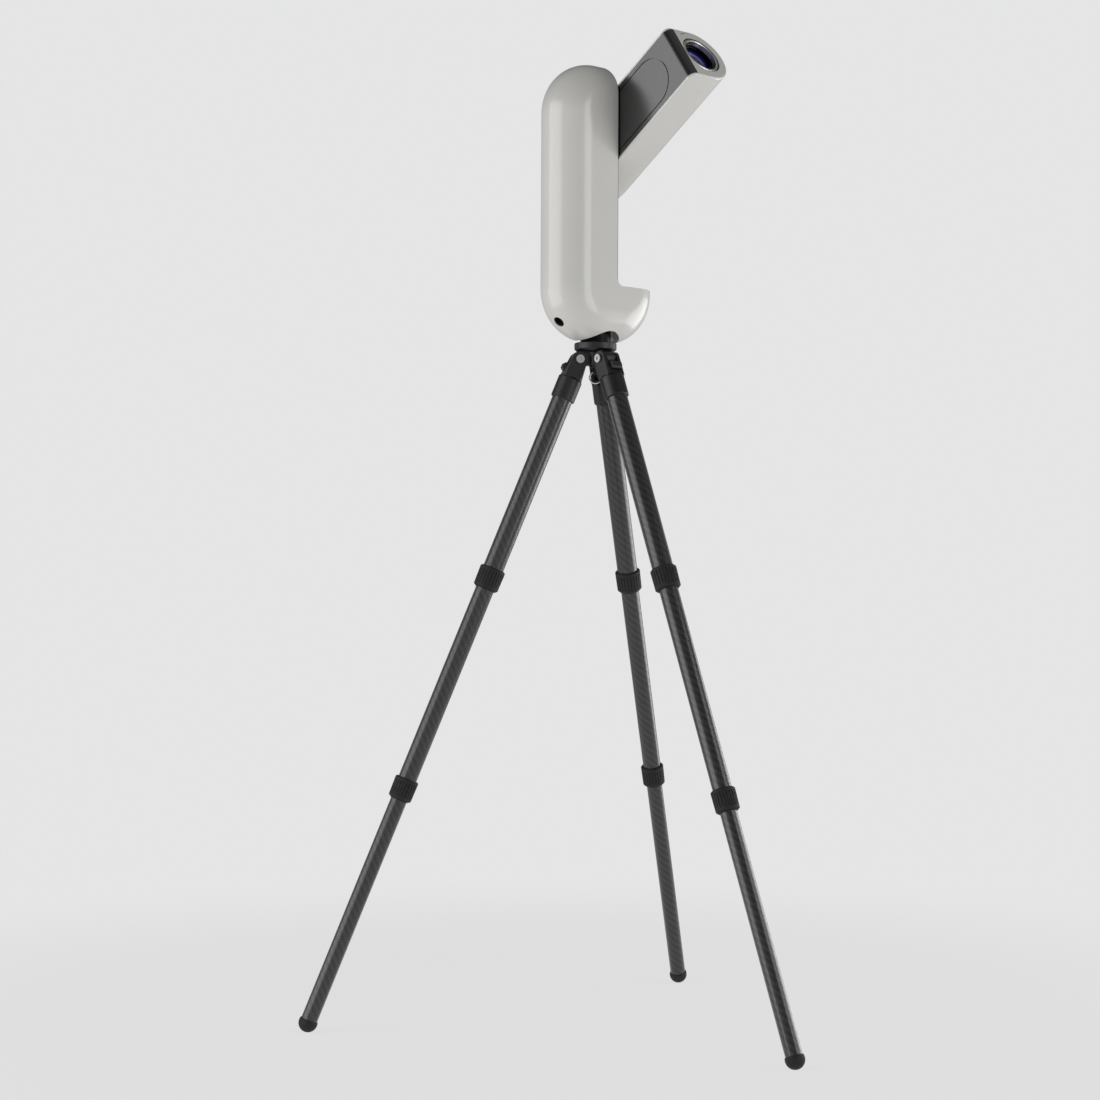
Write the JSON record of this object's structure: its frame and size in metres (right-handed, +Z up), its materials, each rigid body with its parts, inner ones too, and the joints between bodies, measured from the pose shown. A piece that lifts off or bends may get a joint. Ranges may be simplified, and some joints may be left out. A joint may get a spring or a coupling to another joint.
{
  "type": "smart telescope on tripod",
  "caption": "Motorised smart telescope: a lens arm swings out of a pill-shaped column on a folding carbon tripod with twist locks.",
  "frame": {"origin": "on the floor, under the middle of the box that holds the whole object", "axes": "+Z up; +X the way the lens aims when its arm is level; +Y from the column towards the arm"},
  "size_m": [0.659, 0.7312, 1.4164],
  "materials": {
    "white_shell": "glossy warm grey-white moulding",
    "grey_cover": "satin anthracite moulding",
    "dark_liner": "fine matt black moulding",
    "carbon_tube": "lacquered carbon-fibre tube with a fine diagonal weave",
    "black_casting": "satin black paint on cast aluminium",
    "black_plastic": "fine grained black plastic",
    "rubber": "matt black rubber",
    "steel": "turned steel",
    "chrome": "polished chrome",
    "aluminium": "bright turned aluminium",
    "black_anodised": "matt black anodised aluminium",
    "brass": "machined brass",
    "gear_plastic": "natural acetal",
    "coated_glass": "violet-blue coated glass",
    "circuit_board": "green solder mask",
    "battery_wrap": "dark blue shrink film"
  },
  "bodies": {
    "hub": {"tripod_spider": "black_casting", "top_plate": "black_casting", "base_stud": "steel", "pivot_bolts": "steel", "hook_stem": "black_casting", "azimuth_base": "black_anodised", "azimuth_gear": "gear_plastic"},
    "hook": {"hook_ring": "chrome"},
    "front_leg": {"front_yoke": "black_casting", "front_upper_tube": "carbon_tube"},
    "front_catch": {"front_angle_catch": "black_plastic"},
    "front_upper_collar": {"front_upper_lock": "rubber"},
    "front_middle_section": {"front_middle_tube": "carbon_tube"},
    "front_lower_collar": {"front_lower_lock": "rubber"},
    "front_lower_section": {"front_lower_tube": "carbon_tube", "front_foot": "rubber"},
    "left_leg": {"left_yoke": "black_casting", "left_upper_tube": "carbon_tube"},
    "left_catch": {"left_angle_catch": "black_plastic"},
    "left_upper_collar": {"left_upper_lock": "rubber"},
    "left_middle_section": {"left_middle_tube": "carbon_tube"},
    "left_lower_collar": {"left_lower_lock": "rubber"},
    "left_lower_section": {"left_lower_tube": "carbon_tube", "left_foot": "rubber"},
    "right_leg": {"right_yoke": "black_casting", "right_upper_tube": "carbon_tube"},
    "right_catch": {"right_angle_catch": "black_plastic"},
    "right_upper_collar": {"right_upper_lock": "rubber"},
    "right_middle_section": {"right_middle_tube": "carbon_tube"},
    "right_lower_collar": {"right_lower_lock": "rubber"},
    "right_lower_section": {"right_lower_tube": "carbon_tube", "right_foot": "rubber"},
    "head": {"body_shell": "white_shell", "bay_liner": "dark_liner", "altitude_bearing": "steel", "azimuth_bearing": "steel", "charging_socket": "black_plastic", "charging_contacts": "brass", "battery_pack": "battery_wrap", "main_board": "circuit_board", "azimuth_motor": "steel", "altitude_motor": "steel"},
    "azimuth_drive": {"azimuth_pinion": "brass"},
    "altitude_drive": {"altitude_pinion": "brass"},
    "button": {"power_button": "grey_cover"},
    "arm": {"arm_shell": "white_shell", "arm_cover": "grey_cover", "arm_lid": "grey_cover", "hub_shaft": "aluminium", "altitude_gear": "gear_plastic", "lens_barrel": "black_anodised", "lens_ring": "aluminium", "lens_seal": "rubber", "objective_lens": "coated_glass", "lens_retainer": "black_anodised", "focus_motor": "steel"},
    "carriage": {"focus_carriage": "black_anodised", "image_sensor": "black_plastic"},
    "screw": {"focus_screw": "steel"}
  },
  "joints": [
    {"name": "hook_swing", "type": "hinge", "parent": "hub", "child": "hook", "pos_m": [-0.09056, -0.01279, 0.93957], "axis": [0.6947, 0.7193, 0], "range_deg": [-25, 25]},
    {"name": "front_leg_fold", "type": "hinge", "parent": "hub", "child": "front_leg", "pos_m": [-0.06561, -0.01436, 0.95657], "axis": [0.0628, 0.998, 0], "range_deg": [0, 19]},
    {"name": "front_catch_pull", "type": "slide", "parent": "front_leg", "child": "front_catch", "axis": [0.925, -0.0582, 0.3756], "range_m": [0, 0.005], "stiffness_N_per_m": 300, "springref_m": -0.002},
    {"name": "front_upper_lock_turn", "type": "hinge", "parent": "front_leg", "child": "front_upper_collar", "pos_m": [0.06221, -0.0224, 0.64054], "axis": [0.3748, -0.0236, -0.9268], "range_deg": [0, 90]},
    {"name": "front_middle_slide", "type": "slide", "parent": "front_leg", "child": "front_middle_section", "axis": [-0.3748, 0.0236, 0.9268], "range_m": [0, 0.25]},
    {"name": "front_lower_lock_turn", "type": "hinge", "parent": "front_middle_section", "child": "front_lower_collar", "pos_m": [0.18347, -0.03003, 0.34072], "axis": [0.3748, -0.0236, -0.9268], "range_deg": [0, 90]},
    {"name": "front_lower_slide", "type": "slide", "parent": "front_middle_section", "child": "front_lower_section", "axis": [-0.3748, 0.0236, 0.9268], "range_m": [0, 0.3]},
    {"name": "left_leg_fold", "type": "hinge", "parent": "hub", "child": "left_leg", "pos_m": [-0.10167, 0.0096, 0.95657], "axis": [-0.8957, -0.4446, 0], "range_deg": [0, 19]},
    {"name": "left_catch_pull", "type": "slide", "parent": "left_leg", "child": "left_catch", "axis": [-0.4121, 0.8301, 0.3756], "range_m": [0, 0.005], "stiffness_N_per_m": 300, "springref_m": -0.002},
    {"name": "left_upper_lock_turn", "type": "hinge", "parent": "left_leg", "child": "left_upper_collar", "pos_m": [-0.15862, 0.12432, 0.64054], "axis": [-0.167, 0.3364, -0.9268], "range_deg": [0, 90]},
    {"name": "left_middle_slide", "type": "slide", "parent": "left_leg", "child": "left_middle_section", "axis": [0.167, -0.3364, 0.9268], "range_m": [0, 0.25]},
    {"name": "left_lower_lock_turn", "type": "hinge", "parent": "left_middle_section", "child": "left_lower_collar", "pos_m": [-0.21264, 0.23315, 0.34072], "axis": [-0.167, 0.3364, -0.9268], "range_deg": [0, 90]},
    {"name": "left_lower_slide", "type": "slide", "parent": "left_middle_section", "child": "left_lower_section", "axis": [0.167, -0.3364, 0.9268], "range_m": [0, 0.3]},
    {"name": "right_leg_fold", "type": "hinge", "parent": "hub", "child": "right_leg", "pos_m": [-0.10439, -0.03361, 0.95657], "axis": [0.8329, -0.5534, 0], "range_deg": [0, 19]},
    {"name": "right_catch_pull", "type": "slide", "parent": "right_leg", "child": "right_catch", "axis": [-0.5129, -0.7719, 0.3756], "range_m": [0, 0.005], "stiffness_N_per_m": 300, "springref_m": -0.002},
    {"name": "right_upper_lock_turn", "type": "hinge", "parent": "right_leg", "child": "right_upper_collar", "pos_m": [-0.17527, -0.14028, 0.64054], "axis": [-0.2078, -0.3128, -0.9268], "range_deg": [0, 90]},
    {"name": "right_middle_slide", "type": "slide", "parent": "right_leg", "child": "right_middle_section", "axis": [0.2078, 0.3128, 0.9268], "range_m": [0, 0.25]},
    {"name": "right_lower_lock_turn", "type": "hinge", "parent": "right_middle_section", "child": "right_lower_collar", "pos_m": [-0.2425, -0.24149, 0.34072], "axis": [-0.2078, -0.3128, -0.9268], "range_deg": [0, 90]},
    {"name": "right_lower_slide", "type": "slide", "parent": "right_middle_section", "child": "right_lower_section", "axis": [0.2078, 0.3128, 0.9268], "range_m": [0, 0.3]},
    {"name": "azimuth_turn", "type": "hinge", "parent": "hub", "child": "head", "pos_m": [-0.09056, -0.01279, 0.98097], "axis": [0, 0, 1], "continuous": true},
    {"name": "azimuth_pinion_turn", "type": "hinge", "parent": "head", "child": "azimuth_drive", "pos_m": [-0.09056, -0.04529, 1.01327], "axis": [0, 0, 1], "continuous": true},
    {"name": "power_button_press", "type": "slide", "parent": "head", "child": "button", "axis": [1, 0, 0], "range_m": [0, 0.0012], "stiffness_N_per_m": 500, "springref_m": -0.0008},
    {"name": "altitude_turn", "type": "hinge", "parent": "head", "child": "arm", "pos_m": [-0.09056, -0.01279, 1.26597], "axis": [0, -1, 0], "range_deg": [-125, 55]},
    {"name": "altitude_pinion_turn", "type": "hinge", "parent": "head", "child": "altitude_drive", "pos_m": [-0.09056, -0.03879, 1.22847], "axis": [0, -1, 0], "range_deg": [-220, 500]},
    {"name": "focus_screw_turn", "type": "hinge", "parent": "arm", "child": "screw", "pos_m": [-0.13971, 0.03451, 1.23156], "axis": [0.8192, 0, 0.5736], "range_deg": [-720, 720]},
    {"name": "focus_slide", "type": "slide", "parent": "arm", "child": "carriage", "axis": [0.8192, 0, 0.5736], "range_m": [-0.004, 0.004]}
  ],
  "couplings": [
    {"joint": "azimuth_pinion_turn", "follows": "azimuth_turn", "ratio": 3.3333},
    {"joint": "altitude_pinion_turn", "follows": "altitude_turn", "ratio": -4},
    {"joint": "focus_screw_turn", "follows": "focus_slide", "rad_per_m": 3141.6}
  ]
}
